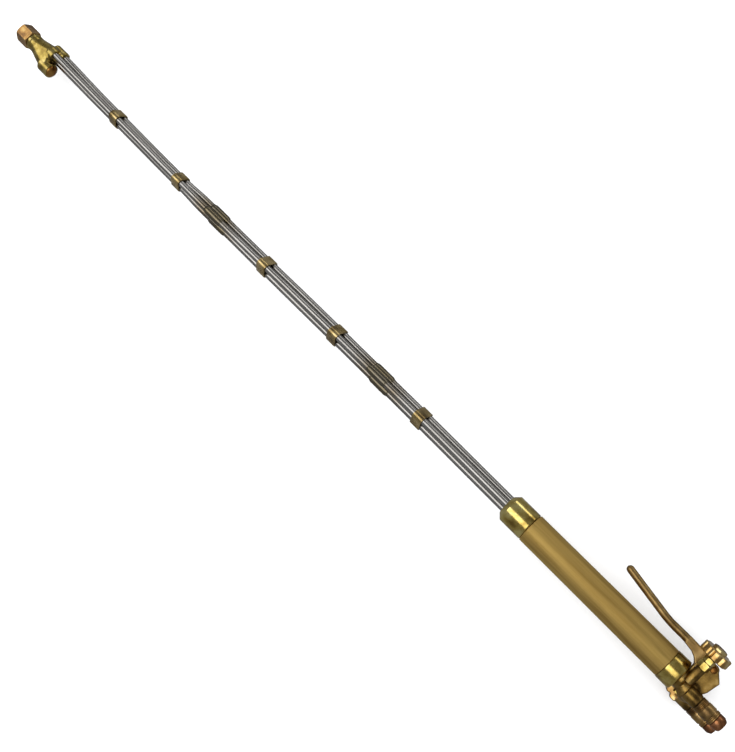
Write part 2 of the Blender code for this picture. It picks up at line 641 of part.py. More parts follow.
# Hose inlets with their check valves
for gas, (side, up) in INLETS.items():
    line = {"origin": (0, side, up)}
    start = ARM_END + GAP
    turned(
        gas + "_check_valve", COPPER,
        [(1077.0, 4.9), (start, 4.9), (start, HOUSING_RADIUS - 0.5), (start + 0.6, HOUSING_RADIUS),
         (HOUSING_END - 0.6, HOUSING_RADIUS), (HOUSING_END, HOUSING_RADIUS - 0.6)],
        [(1077.0, 2.2), (start + 3.0, 2.2), (start + 3.0, 5.0), (HOUSING_END, 5.0)], steps=24, **line)
    turned(
        gas + "_end_nut", COPPER,
        [(HOUSING_END - 8.0, 4.7), (HOUSING_END + GAP, 4.7), (HOUSING_END + GAP, END_NUT_RADIUS - 0.6),
         (HOUSING_END + 0.9, END_NUT_RADIUS), (LENGTH - 3.2, END_NUT_RADIUS), (LENGTH, 5.9)],
        [(HOUSING_END - 8.0, 3.1), (LENGTH - 5.0, 3.1), (LENGTH, 4.2)], steps=24, **line)
    poppet_end = HOUSING_END - 8.0 - GAP
    turned(gas + "_check_poppet", STEEL,
           [(poppet_end - 2.6, 3.0), (poppet_end - 2.1, 3.8), (poppet_end, 3.8)], steps=14, **line)
    spring(gas + "_check_spring", 2.9, 0.4, CHECK_SPRING_START, poppet_end - 2.9, 3, (0, side, up), X_AXIS)
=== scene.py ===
import math

import bmesh
import bpy
from mathutils import Matrix, Vector


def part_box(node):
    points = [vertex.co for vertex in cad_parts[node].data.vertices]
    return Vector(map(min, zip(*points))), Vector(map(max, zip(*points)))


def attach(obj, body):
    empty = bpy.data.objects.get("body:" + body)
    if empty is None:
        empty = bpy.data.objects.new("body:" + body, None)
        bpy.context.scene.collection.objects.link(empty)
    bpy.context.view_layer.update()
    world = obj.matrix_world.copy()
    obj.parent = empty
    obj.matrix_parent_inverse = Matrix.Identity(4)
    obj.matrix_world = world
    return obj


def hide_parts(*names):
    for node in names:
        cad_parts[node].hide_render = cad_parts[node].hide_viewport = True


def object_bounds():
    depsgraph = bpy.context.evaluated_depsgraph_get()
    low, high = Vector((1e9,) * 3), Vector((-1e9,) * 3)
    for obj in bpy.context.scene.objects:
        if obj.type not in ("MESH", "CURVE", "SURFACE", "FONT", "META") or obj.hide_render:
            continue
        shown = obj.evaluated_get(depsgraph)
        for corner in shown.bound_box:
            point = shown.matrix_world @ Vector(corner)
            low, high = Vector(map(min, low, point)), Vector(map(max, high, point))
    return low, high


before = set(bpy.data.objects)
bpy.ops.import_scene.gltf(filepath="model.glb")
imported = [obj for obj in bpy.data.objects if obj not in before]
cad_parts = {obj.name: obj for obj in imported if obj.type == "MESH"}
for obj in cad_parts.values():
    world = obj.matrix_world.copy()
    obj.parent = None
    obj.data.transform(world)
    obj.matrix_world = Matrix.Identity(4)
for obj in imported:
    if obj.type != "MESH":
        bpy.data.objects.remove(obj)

cad_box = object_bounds()
MM = 0.001

# ---------------------------------------------------------------------------------------------
# Where everything is: the torch lies on its side along X. Stations are counted in millimetres
# from the tip nut's front face, and the barrel of the handle gives the torch's axis.
# ---------------------------------------------------------------------------------------------
barrel_low, barrel_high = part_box("handle_barrel")
AXIS = Vector((
    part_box("tip_nut")[0].x,
    (barrel_low.y + barrel_high.y) / 2,
    (barrel_low.z + barrel_high.z) / 2,
))


def at(station, side=0.0, up=0.0):
    """A point on or beside the torch's axis, from millimetres."""
    return AXIS + Vector((station, side, up)) * MM


def station_of(x):
    """The station in millimetres of a frame X in metres."""
    return (x - AXIS.x) / MM


# ---------------------------------------------------------------------------------------------
# Camera: over the handle's rear half, tipped back towards the head and turned so that the torch
# runs from corner to corner.
# ---------------------------------------------------------------------------------------------
CAMERA_STATION = 943.3
CAMERA_SIDE = -7.2
CAMERA_HEIGHT = 1014.8
CAMERA_TILT = math.radians(16.96)
CAMERA_ROLL = math.radians(44.83)
CAMERA_LENS = 47.87            # on the default 36 mm sensor

lens = bpy.data.cameras.new("camera")
lens.lens = CAMERA_LENS
camera = bpy.data.objects.new("camera", lens)
camera.matrix_world = (
    Matrix.Translation(at(CAMERA_STATION, CAMERA_SIDE, CAMERA_HEIGHT))
    @ Matrix.Rotation(CAMERA_TILT, 4, "Y")
    @ Matrix.Rotation(CAMERA_ROLL, 4, "Z")
)
bpy.context.scene.collection.objects.link(camera)
bpy.context.scene.camera = camera
bpy.context.scene.view_settings.view_transform = "Standard"


def linear(code):
    """An sRGB hex colour as the linear RGBA that nodes take."""
    channels = [int(code[index:index + 2], 16) / 255 for index in (1, 3, 5)]
    bent = [c / 12.92 if c <= 0.04045 else ((c + 0.055) / 1.055) ** 2.4 for c in channels]
    return (*bent, 1.0)


def add(tree, kind, inputs=None, **settings):
    """Adds a node. Its inputs are values, or sockets to link from."""
    made = tree.nodes.new(kind)
    for name, value in settings.items():
        setattr(made, name, value)
    for name, value in (inputs or {}).items():
        if isinstance(value, bpy.types.NodeSocket):
            tree.links.new(value, made.inputs[name])
        else:
            made.inputs[name].default_value = value
    return made


def new_material(name):
    """An empty material, its tree and its shader."""
    material = bpy.data.materials.new(name)
    material.use_nodes = True
    tree = material.node_tree
    return material, tree, tree.nodes["Principled BSDF"]


def ramp(tree, factor, *stops):
    """A colour ramp's colour through (place, sRGB colour) stops."""
    made = add(tree, "ShaderNodeValToRGB", {"Fac": factor})
    elements = made.color_ramp.elements
    while len(elements) < len(stops):
        elements.new(0.5)
    for element, (place, code) in zip(elements, stops):
        element.position = place
        element.color = linear(code)
    return made.outputs["Color"]


def noise(tree, where, scale, detail):
    """Cloudy noise over coordinates, from 0 to 1."""
    return add(tree, "ShaderNodeTexNoise", {"Vector": where, "Scale": scale, "Detail": detail}).outputs["Fac"]


# ---------------------------------------------------------------------------------------------
# Studio: a plain white table, a pale room, and long soft boxes over it that draw the light and
# dark lines along the tubes.
# ---------------------------------------------------------------------------------------------
FLOOR_SIZE = 14.0
ROOM_COLOUR = (0.94, 0.96, 1.0, 1.0)
ROOM_STRENGTH = 0.26

floor_material, tree, shader = new_material("white_table")
coords = add(tree, "ShaderNodeTexCoord").outputs["Object"]
clouds = noise(tree, coords, 2.0, 2.0)
tree.links.new(ramp(tree, clouds, (0.3, "#F4F4F4"), (0.7, "#F7F7F7")), shader.inputs["Base Color"])
shader.inputs["Roughness"].default_value = 0.9
shader.inputs["Specular IOR Level"].default_value = 0.1
shape = bmesh.new()
bmesh.ops.create_grid(shape, x_segments=1, y_segments=1, size=FLOOR_SIZE / 2)
bmesh.ops.translate(shape, verts=shape.verts, vec=(0, 0, cad_box[0][2]))
mesh = bpy.data.meshes.new("table")
shape.to_mesh(mesh)
shape.free()
mesh.materials.append(floor_material)
table = bpy.data.objects.new("table", mesh)
bpy.context.scene.collection.objects.link(table)

world = bpy.data.worlds.new("room")
world.use_nodes = True
background = world.node_tree.nodes["Background"]
background.inputs["Color"].default_value = ROOM_COLOUR
background.inputs["Strength"].default_value = ROOM_STRENGTH
bpy.context.scene.world = world

SOFT_BOXES = [
    # name, place over the torch's middle, size, power, and whether mirror-like metal shows it
    # (the others light only what is matt)
    ("overhead_box", (-0.95, -0.50, 1.85), (3.9, 1.15), 27.0, True),
    ("lever_side_box", (-0.6, 2.0, 0.85), (4.0, 0.45), 10.0, True),
    ("table_fill", (0.0, 0.0, 4.0), (12.0, 12.0), 860.0, False),
]
for name, place, size, power, mirrored in SOFT_BOXES:
    light = bpy.data.lights.new(name, "AREA")
    light.shape = "RECTANGLE"
    light.size = size[0]
    light.size_y = size[1]
    light.energy = power
    lamp = bpy.data.objects.new(name, light)
    lamp.location = place
    lamp.rotation_mode = "QUATERNION"
    lamp.rotation_quaternion = Vector((0, -place[1], -place[2])).to_track_quat("-Z", "Y")
    lamp.visible_camera = False
    lamp.visible_glossy = mirrored
    lamp.visible_diffuse = not mirrored
    bpy.context.scene.collection.objects.link(lamp)
table.visible_glossy = False


# ---------------------------------------------------------------------------------------------
# Tip nut: a hexagonal nut of polished brass, turned to a 30 degree chamfer at both ends, which
# clamps the cutting tip into the head. It turns by itself, so it rides on its own body.
# ---------------------------------------------------------------------------------------------
def metal_finish(tree, shader, grain, roughness, strength, depth):
    """Bare metal. Its grain sets the roughness, between two values, and a fine bump."""
    spread = add(tree, "ShaderNodeMapRange", {
        "Value": grain, "From Min": 0.3, "From Max": 0.7, "To Min": roughness[0], "To Max": roughness[1],
    }).outputs["Result"]
    tree.links.new(spread, shader.inputs["Roughness"])
    bump = add(tree, "ShaderNodeBump", {"Height": grain, "Strength": strength, "Distance": depth})
    tree.links.new(bump.outputs["Normal"], shader.inputs["Normal"])
    shader.inputs["Metallic"].default_value = 1.0


def polished_brass(name, light, mid, dark, roughness):
    """Machine-polished brass: sharp reflections, thin tarnish in soft clouds, fine hairlines."""
    material, tree, shader = new_material(name)
    coords = add(tree, "ShaderNodeTexCoord").outputs["Object"]
    clouds = noise(tree, coords, 1 / 0.012, 4.0)
    tree.links.new(ramp(tree, clouds, (0.34, dark), (0.5, mid), (0.66, light)), shader.inputs["Base Color"])
    stretched = add(tree, "ShaderNodeMapping", {"Vector": coords, "Scale": (1.0, 6.0, 6.0)}).outputs["Vector"]
    hairlines = noise(tree, stretched, 1 / 0.0016, 3.0)
    metal_finish(tree, shader, hairlines, (roughness * 0.7, roughness * 1.5), 0.06, 0.0002)
    return material


brass = polished_brass("polished_brass", "#E6D488", "#C6AC5C", "#93793A", 0.16)


def turned(profile, origin, direction=(1, 0, 0), sides=72):
    """A lathe-turned solid. The profile is (along, radius) pairs in millimetres, once round the section."""
    shape = bmesh.new()
    points = [shape.verts.new((radius * MM, 0, along * MM)) for along, radius in profile]
    pairs = list(zip(points, points[1:]))
    if profile[0][1] > 0:
        pairs.append((points[-1], points[0]))
    edges = [shape.edges.new(pair) for pair in pairs]
    bmesh.ops.spin(
        shape, geom=points + edges, cent=(0, 0, 0), axis=(0, 0, 1), angle=math.tau, steps=sides, use_merge=True)
    bmesh.ops.remove_doubles(shape, verts=shape.verts, dist=1e-6)
    bmesh.ops.recalc_face_normals(shape, faces=shape.faces)
    return aimed(shape, origin, direction)


def aimed(shape, origin, direction):
    """Turns a shape drawn along Z to a direction and puts it at a point."""
    turn = Vector(direction).to_track_quat("Z", "Y").to_matrix().to_4x4()
    bmesh.ops.transform(shape, verts=shape.verts, matrix=Matrix.Translation(origin) @ turn)
    return shape


def ease(shape, width, turn=30.0, segments=2):
    """Rounds every edge that turns by more than the given angle."""
    sharp = [
        edge for edge in shape.edges
        if len(edge.link_faces) == 2 and edge.calc_face_angle() > math.radians(turn)
    ]
    bmesh.ops.bevel(
        shape, geom=sharp, offset=width * MM, offset_type="OFFSET", segments=segments, profile=0.5,
        affect="EDGES", material=-1, clamp_overlap=True)
    return shape


def as_object(shape, name="stock"):
    """Makes a shape an object, and gives up the shape."""
    mesh = bpy.data.meshes.new(name)
    shape.to_mesh(mesh)
    shape.free()
    made = bpy.data.objects.new(name, mesh)
    bpy.context.scene.collection.objects.link(made)
    return made


def worked(stock):
    """The shape that an object's modifiers leave. The object goes."""
    bpy.context.view_layer.update()
    evaluated = stock.evaluated_get(bpy.context.evaluated_depsgraph_get())
    shape = bmesh.new()
    shape.from_mesh(evaluated.to_mesh())
    evaluated.to_mesh_clear()
    mesh = stock.data
    bpy.data.objects.remove(stock)
    bpy.data.meshes.remove(mesh)
    return shape


def joined(shape, tool, operation="DIFFERENCE"):
    """Cuts one solid by another, or joins or trims them."""
    stock = as_object(shape)
    cutter = as_object(tool, "cutter")
    step = stock.modifiers.new("cut", "BOOLEAN")
    step.operation = operation
    step.solver = "EXACT"
    step.object = cutter
    result = worked(stock)
    mesh = cutter.data
    bpy.data.objects.remove(cutter)
    bpy.data.meshes.remove(mesh)
    return result


def finished(name, shape, material, body, slot, *nodes, sharp=40.0):
    """The finished piece, with what it rides on and the CAD nodes that it stands for. The slot argument is not
    used.
    """
    mesh = bpy.data.meshes.new(name)
    shape.to_mesh(mesh)
    shape.free()
    mesh.shade_smooth()
    mesh.set_sharp_from_angle(angle=math.radians(sharp))
    mesh.materials.append(material)
    piece = bpy.data.objects.new(name, mesh)
    bpy.context.scene.collection.objects.link(piece)
    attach(piece, body)
    if nodes:
        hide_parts(*nodes)
    return piece


CORNER_CHAMFER = math.radians(30)


def hexagon(flats, start, end, origin, direction, chamfers):
    """Hexagonal bar with flats facing up and down, and its corners turned away at both ends."""
    corner = flats / math.sqrt(3)
    shape = bmesh.new()
    bmesh.ops.create_cone(
        shape, cap_ends=True, segments=6, radius1=corner * MM, radius2=corner * MM, depth=(end - start) * MM)
    flats_up = Matrix.Rotation(math.radians(30), 3, "Z")
    bmesh.ops.rotate(shape, verts=shape.verts, cent=(0, 0, 0), matrix=flats_up)
    bmesh.ops.translate(shape, verts=shape.verts, vec=(0, 0, (start + end) / 2 * MM))
    first, last = (depth / math.tan(CORNER_CHAMFER) for depth in chamfers)
    turning = turned(
        [(start - 0.1, 0), (start - 0.1, corner + 0.02 - first), (start + chamfers[0], corner + 0.02),
         (end - chamfers[1], corner + 0.02), (end + 0.1, corner + 0.02 - last), (end + 0.1, 0)],
        (0, 0, 0), (0, 0, 1), 96)
    return aimed(joined(shape, turning, "INTERSECT"), origin, direction)


nut_low, nut_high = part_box("tip_nut")
NUT_FLATS = (nut_high.z - nut_low.z) / MM
NUT_LENGTH = (nut_high.x - nut_low.x) / MM
HEAD_SIDE = ((nut_low.y + nut_high.y) / 2 - AXIS.y) / MM
NUT_MOUTH = 7.6
NUT_BORE = 9.4

nut = hexagon(NUT_FLATS, 0, NUT_LENGTH, at(0, HEAD_SIDE), (1, 0, 0), (2.4, 1.2))
nut = joined(nut, turned(
    [(-1, 0), (-1, NUT_MOUTH + 1.6), (0.6, NUT_MOUTH), (3, NUT_MOUTH), (3, NUT_BORE),
     (NUT_LENGTH - 0.6, NUT_BORE), (NUT_LENGTH + 1, NUT_BORE + 1.6), (NUT_LENGTH + 1, 0)],
    at(0, HEAD_SIDE)))
nut_brass = polished_brass("tip_nut_brass", "#D9B878", "#B58C54", "#866440", 0.2)
finished("tip_nut_polished", ease(nut, 0.18), nut_brass, "tip_nut", "polished_brass", "tip_nut")


# ---------------------------------------------------------------------------------------------
# Gas tubes: three 5/16 inch drawn stainless tubes, brazed into the head and the valve body. They
# lie in a triangle that the bands hold, the fuel gas tube uppermost.
# ---------------------------------------------------------------------------------------------
TUBE_RADIUS = 3.97
TUBE_WALL = 1.17
TUBE_SIDES = 32
RING_STEP = 7.0                # between a tube's rings
TUBE_ANGLES = {"fuel_gas": 97.0, "preheat_oxygen": -23.0, "cutting_oxygen": 217.0}
BUNDLE = [
    # station, distance of the tubes from the bundle's centre, twist in degrees, sideways bend
    (54.0, 6.0, 0.0, 2.6),
    (92.0, 5.65, 0.0, 1.9),
    (143.0, 5.1, -2.0, 0.9),
    (227.0, 4.8, -2.0, 0.0),
    (277.0, 4.8, 0.0, -0.6),
    (318.0, 4.9, 0.0, -0.7),
    (346.0, 6.2, 0.0, -0.7),
    (404.0, 6.2, 2.0, -0.6),
    (475.0, 6.4, -1.0, -0.3),
    (531.0, 6.6, -2.0, 0.2),
    (611.0, 6.3, -3.0, 0.6),
    (721.0, 6.5, -4.0, 0.75),
    (833.0, 6.4, -5.0, 0.45),
    (1043.0, 5.7, -7.0, 0.0),
]


def bundle_knot(tube, row):
    """Centre of a tube at a row of the bundle."""
    station, distance, twist, bend = row
    angle = math.radians(TUBE_ANGLES[tube] + twist)
    return Vector((station, bend + distance * math.cos(angle), distance * math.sin(angle)))


def tube_centre(tube, station):
    """Centre of a tube at a station, on a smooth curve through the bundle's rows."""
    rows = [BUNDLE[0]] + BUNDLE + [BUNDLE[-1]]
    place = min(max(station, BUNDLE[0][0]), BUNDLE[-1][0])
    index = next(i for i in range(1, len(rows) - 2) if place <= rows[i + 1][0])
    before, start, end, after = (bundle_knot(tube, row) for row in rows[index - 1:index + 3])
    share = (place - start.x) / (end.x - start.x)
    ahead = (end - before) * ((end.x - start.x) / (end.x - before.x))
    beyond = (after - start) * ((end.x - start.x) / (after.x - start.x))
    point = (
        start * (2 * share ** 3 - 3 * share ** 2 + 1) + ahead * (share ** 3 - 2 * share ** 2 + share)
        + end * (3 * share ** 2 - 2 * share ** 3) + beyond * (share ** 3 - share ** 2)
    )
    return Vector((station, point.y, point.z))


def swept(points, radii, sides=TUBE_SIDES, capped=True):
    """A round bar through points in metres, with a radius in millimetres at each."""
    shape = bmesh.new()
    heading = (points[1] - points[0]).normalized()
    frame_now = Matrix.Translation(points[0]) @ heading.to_track_quat("Z", "Y").to_matrix().to_4x4()
    ring = bmesh.ops.create_circle(shape, segments=sides, radius=radii[0] * MM, cap_ends=False)["verts"]
    bmesh.ops.transform(shape, verts=ring, matrix=frame_now)
    loop = list({edge for vert in ring for edge in vert.link_edges})
    ends = [loop]
    for index in range(1, len(points)):
        after = points[min(index + 1, len(points) - 1)]
        heading = (after - points[index - 1]).normalized()
        frame_next = Matrix.Translation(points[index]) @ heading.to_track_quat("Z", "Y").to_matrix().to_4x4()
        grown = bmesh.ops.extrude_edge_only(shape, edges=loop)["geom"]
        ring = [item for item in grown if isinstance(item, bmesh.types.BMVert)]
        loop = [item for item in grown if isinstance(item, bmesh.types.BMEdge)]
        growth = Matrix.Scale(radii[index] / radii[index - 1], 4)
        bmesh.ops.transform(shape, verts=ring, matrix=frame_next @ growth @ frame_now.inverted())
        frame_now = frame_next
    ends.append(loop)
    if capped:
        for rim in ends:
            bmesh.ops.contextual_create(shape, geom=rim)
    bmesh.ops.recalc_face_normals(shape, faces=shape.faces)
    return shape


def tube_points(tube, stations):
    """Points of a tube's centre line at stations, in metres."""
    return [AXIS + tube_centre(tube, station) * MM for station in stations]


def tube_run(tube, start, end):
    """Evenly spaced points of a tube's centre line."""
    count = max(2, round((end - start) / RING_STEP))
    return tube_points(tube, [start + (end - start) * index / count for index in range(count + 1)])


def tube_hole(tube, stations, clearance):
    """The hole that a tube goes through."""
    return swept(tube_points(tube, stations), [TUBE_RADIUS + clearance] * len(stations))


SPLICES = (375.0, 646.0)       # stations that the heat tint is darkest at


def stainless(name, steel_light, steel_dark, tinted):
    """Drawn steel with lines along X, and a brown heat tint at the brazed splices."""
    material, tree, shader = new_material(name)
    coords = add(tree, "ShaderNodeTexCoord").outputs["Object"]
    lengthwise = (12.0, 1100.0, 1100.0)
    drawn = add(tree, "ShaderNodeMapping", {"Vector": coords, "Scale": lengthwise}).outputs["Vector"]
    lines = noise(tree, drawn, 1.0, 4.0)
    steel = ramp(tree, lines, (0.3, steel_dark), (0.7, steel_light))
    blotches = noise(tree, coords, 1 / 0.02, 5.0)
    along = add(tree, "ShaderNodeSeparateXYZ", {"Vector": coords}).outputs["X"]
    tint = None
    for splice in SPLICES:
        offset = add(tree, "ShaderNodeMath", {0: along, 1: at(splice).x}, operation="SUBTRACT").outputs["Value"]
        distance = add(tree, "ShaderNodeMath", {0: offset}, operation="ABSOLUTE").outputs["Value"]
        near = add(tree, "ShaderNodeMapRange", {
            "Value": distance, "From Min": 0.015, "From Max": 0.045, "To Min": 0.85, "To Max": 0.0,
        }, interpolation_type="SMOOTHSTEP").outputs["Result"]
        if tint is None:
            tint = near
        else:
            tint = add(tree, "ShaderNodeMath", {0: tint, 1: near}, operation="MAXIMUM").outputs["Value"]
    patchy = add(tree, "ShaderNodeMapRange", {
        "Value": blotches, "From Min": 0.35, "From Max": 0.6, "To Min": 0.45, "To Max": 1.0,
    }).outputs["Result"]
    amount = add(tree, "ShaderNodeMath", {0: tint, 1: patchy}, operation="MULTIPLY").outputs["Value"]
    brown = ramp(tree, blotches, (0.35, tinted[0]), (0.65, tinted[1]))
    colour = add(tree, "ShaderNodeMix", {0: amount, 6: steel, 7: brown}, data_type="RGBA").outputs[2]
    tree.links.new(colour, shader.inputs["Base Color"])
    metal_finish(tree, shader, lines, (0.17, 0.3), 0.12, 0.0001)
    return material


tube_steel = stainless("drawn_stainless", "#C2BFBA", "#8E8A84", ("#6A5C42", "#85755A"))
for tube in TUBE_ANGLES:
    for length in ("front", "middle", "rear"):
        name = f"{tube}_tube_{length}"
        low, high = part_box(name)
        run = tube_run(tube, station_of(low.x), station_of(high.x))
        stock = as_object(swept(run, [TUBE_RADIUS] * len(run), capped=False))
        wall = stock.modifiers.new("wall", "SOLIDIFY")
        wall.thickness = TUBE_WALL * MM
        wall.offset = -1.0
        finished(name + "_drawn", worked(stock), tube_steel, "torch", "stainless_tube", name)


# ---------------------------------------------------------------------------------------------
# Splice sleeves: short turned steel sleeves brazed over the joints of the tubes, with a fillet
# of filler at each end and the brown of the torch's heat on them.
# ---------------------------------------------------------------------------------------------
SLEEVE_LENGTH = 25.0
SLEEVE_RADIUS = 5.1
SLEEVE_CENTRES = {
    "fuel_gas": (373.8, 643.5),
    "preheat_oxygen": (373.5, 644.5),
    "cutting_oxygen": (380.4, 649.5),
}

sleeve_steel = stainless("brazed_sleeve_steel", "#9A9486", "#6E685A", ("#5E5542", "#7E7258"))
for tube, centres in SLEEVE_CENTRES.items():
    for end, centre in zip(("front", "rear"), centres):
        half = SLEEVE_LENGTH / 2
        direction = tube_centre(tube, centre + half) - tube_centre(tube, centre - half)
        sleeve = turned(
            [(-half, TUBE_RADIUS + 0.02), (-half - 1.6, TUBE_RADIUS + 0.06), (-half - 0.5, TUBE_RADIUS + 0.3),
             (-half + 0.1, SLEEVE_RADIUS - 0.5), (2.2 - half, SLEEVE_RADIUS), (half - 2.2, SLEEVE_RADIUS),
             (half - 0.1, SLEEVE_RADIUS - 0.5), (half + 0.5, TUBE_RADIUS + 0.3),
             (half + 1.6, TUBE_RADIUS + 0.06), (half, TUBE_RADIUS + 0.02)],
            AXIS + tube_centre(tube, centre) * MM, direction, 48)
        name = f"{tube}_sleeve_{end}"
        finished(name + "_brazed", ease(sleeve, 0.12, 15.0), sleeve_steel, "torch", "stainless_tube", name)


# ---------------------------------------------------------------------------------------------
# Bands: straps of thin brass sheet, bent round all three tubes and soldered.
# ---------------------------------------------------------------------------------------------
BAND_WALL = 1.1
BAND_GAP = 0.4
BAND_SIDES = 48


def ring(shape, radius, place, segments):
    """Adds a circle that faces along the torch to a shape, at (station, side, up)."""
    made = bmesh.ops.create_circle(shape, segments=segments, radius=radius * MM, cap_ends=False)["verts"]
    facing = Matrix.Rotation(math.radians(90), 4, "Y")
    bmesh.ops.transform(shape, verts=made, matrix=Matrix.Translation(at(*place)) @ facing)


def wrap(station, width, offset):
    """The solid that three tubes' circles span, from one side of a band to the other."""
    shape = bmesh.new()
    for tube in TUBE_ANGLES:
        centre = tube_centre(tube, station)
        for edge in (-width / 2, width / 2):
            ring(shape, TUBE_RADIUS + offset, (station + edge, centre.y, centre.z), BAND_SIDES)
    edges = list(shape.edges)
    bmesh.ops.delete(shape, geom=edges, context="EDGES_FACES")
    hull = bmesh.ops.convex_hull(shape, input=shape.verts)
    inner = [item for item in hull["geom_interior"] if isinstance(item, bmesh.types.BMVert)]
    bmesh.ops.delete(shape, geom=inner, context="VERTS")
    bmesh.ops.dissolve_limit(shape, angle_limit=math.radians(0.5), verts=shape.verts, edges=shape.edges)
    bmesh.ops.recalc_face_normals(shape, faces=shape.faces)
    return shape


band_brass = polished_brass("band_brass", "#D8C08A", "#B29A66", "#85704A", 0.24)
for number in range(1, 6):
    name = f"tube_band_{number}"
    low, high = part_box(name)
    centre = station_of((low.x + high.x) / 2)
    width = (high.x - low.x) / MM
    band = joined(wrap(centre, width, BAND_GAP + BAND_WALL), wrap(centre, width + 4, BAND_GAP))
    finished(name + "_rolled", ease(band, 0.25), band_brass, "torch", "polished_brass", name, sharp=35.0)


# ---------------------------------------------------------------------------------------------
# Head: a brass forging. Its collar takes the tip nut, its flare spreads to the boss of the three
# tubes, and the deep bore below is shut by a pressed and soldered plug.
# ---------------------------------------------------------------------------------------------
NOSE_RADIUS = 9.1
COLLAR_RADIUS = 10.6
COLLAR_START = NUT_LENGTH + 0.3
COLLAR_END = 33.5
BOSS_START = 55.0
TUBE_BOSS = (0.4, 0.8, 10.4, 64.5)    # side, up, radius, end
PLUG_BOSS = (-15.6, 0.0, 9.2, 72.0)
PLUG_FLARE_END = 63.0
NECK_RADIUS = 10.3
TUBE_COLLAR = (6.4, 52.0, 71.5)       # radius, start, end, round the preheat tube's socket
TIP_SEAT = [                          # station and radius of the cone that a cutting tip seats in
    (0, 0), (0, 7.4), (3.3, 7.2), (17.0, 4.4), (17.0, 2.5), (34.0, 2.5), (34.0, 0),
]
PLUG_BORE = (7.7, 65.7, 80.0)         # radius, start, end
PLUG_PROFILE = [
    (66.0, 0), (66.0, 7.6), (72.3, 7.6), (73.2, 7.1), (74.3, 5.9), (75.3, 4.0), (75.9, 1.8), (76.0, 0),
]
VOXEL = 0.4


def bar(radius, start, end, origin, direction=(1, 0, 0), sides=64):
    """A plain round bar."""
    return turned([(start, 0), (start, radius), (end, radius), (end, 0)], origin, direction, sides)


def forged(solids, rounds):
    """Joins solids into one skin and softens where they meet, as a forging's fillets."""
    stock = bmesh.new()
    for solid in solids:
        mesh = bpy.data.meshes.new("blank")
        solid.to_mesh(mesh)
        solid.free()
        stock.from_mesh(mesh)
        bpy.data.meshes.remove(mesh)
    blank = as_object(stock)
    skin = blank.modifiers.new("skin", "REMESH")
    skin.mode = "VOXEL"
    skin.voxel_size = VOXEL * MM
    shape = worked(blank)
    for _ in range(rounds):
        bmesh.ops.smooth_vert(
            shape, verts=shape.verts, factor=0.5, use_axis_x=True, use_axis_y=True, use_axis_z=True)
    return shape


upper_tube = tube_centre("preheat_oxygen", 66.0)
flare = bmesh.new()
for station, side, up, radius in (
        (COLLAR_END - 3.0, HEAD_SIDE, 0.0, NECK_RADIUS),
        (BOSS_START + 2.0, TUBE_BOSS[0], TUBE_BOSS[1], TUBE_BOSS[2] - 0.5),
        (PLUG_FLARE_END, PLUG_BOSS[0], PLUG_BOSS[1], PLUG_BOSS[2] - 0.3)):
    ring(flare, radius, (station, side, up), 64)
bmesh.ops.convex_hull(flare, input=flare.verts)
bmesh.ops.recalc_face_normals(flare, faces=flare.faces)
head = forged([
    flare,
    bar(NOSE_RADIUS, COLLAR_END - 6, COLLAR_END + 1, at(0, HEAD_SIDE)),
    bar(TUBE_BOSS[2], BOSS_START, TUBE_BOSS[3], at(0, TUBE_BOSS[0], TUBE_BOSS[1])),
    bar(PLUG_BOSS[2], BOSS_START, PLUG_BOSS[3], at(0, PLUG_BOSS[0], PLUG_BOSS[1])),
    bar(*TUBE_COLLAR, at(0, upper_tube.y, upper_tube.z)),
], 10)
collar = turned(
    [(3.3, 0), (3.3, NOSE_RADIUS - 0.6), (4.0, NOSE_RADIUS), (COLLAR_START, NOSE_RADIUS),
     (COLLAR_START, COLLAR_RADIUS - 0.8), (COLLAR_START + 0.8, COLLAR_RADIUS),
     (COLLAR_START + 4.2, COLLAR_RADIUS), (COLLAR_START + 5.0, COLLAR_RADIUS - 0.9),
     (COLLAR_START + 5.8, COLLAR_RADIUS - 0.9), (COLLAR_START + 6.6, COLLAR_RADIUS - 0.1),
     (COLLAR_END - 2.2, COLLAR_RADIUS - 0.1), (COLLAR_END, NOSE_RADIUS), (COLLAR_END, 0)],
    at(0, HEAD_SIDE), sides=96)
head = joined(head, collar, "UNION")
head = joined(head, turned(TIP_SEAT, at(0, HEAD_SIDE)))
head = joined(head, bar(*PLUG_BORE, at(0, PLUG_BOSS[0])))
for tube in TUBE_ANGLES:
    head = joined(head, tube_hole(tube, (54.0, 60.0, 66.0, 72.0, 80.0), 0.05))
head_brass = polished_brass("head_brass", "#CDB874", "#A8924C", "#7C6634", 0.25)
finished("head_forging", head, head_brass, "torch", "polished_brass", "head_body")

dull_brass = polished_brass("soldered_brass", "#B98A48", "#96642E", "#5F3F1F", 0.3)
plug = turned(PLUG_PROFILE, at(0, PLUG_BOSS[0]))
finished("head_plug_soldered", ease(plug, 0.2), dull_brass, "torch", "dull_brass", "head_plug")


# ---------------------------------------------------------------------------------------------
# Handle: a brass barrel, brushed to a satin, with a polished cap in front and a polished ferrule
# behind. The cap is bored for the three tubes.
# ---------------------------------------------------------------------------------------------
HANDLE_RADIUS = (barrel_high.z - barrel_low.z) / 2 / MM
HANDLE_WALL = 1.8
HANDLE_SIDES = 128
SPIGOT = 9.0                   # how far the cap and the ferrule go into the barrel
CAP_MOUTH = 10.9               # radius of the cap's front face
barrel_start = station_of(barrel_low.x)
barrel_end = station_of(barrel_high.x)
cap_start = station_of(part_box("handle_front_cap")[0].x)
ferrule_end = station_of(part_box("handle_rear_ferrule")[1].x)
ferrule_radius = (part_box("handle_rear_ferrule")[1].z - AXIS.z) / MM
bore = HANDLE_RADIUS - HANDLE_WALL
NOSE_BORE = 10.9               # of the ferrule, over the valve body's nose

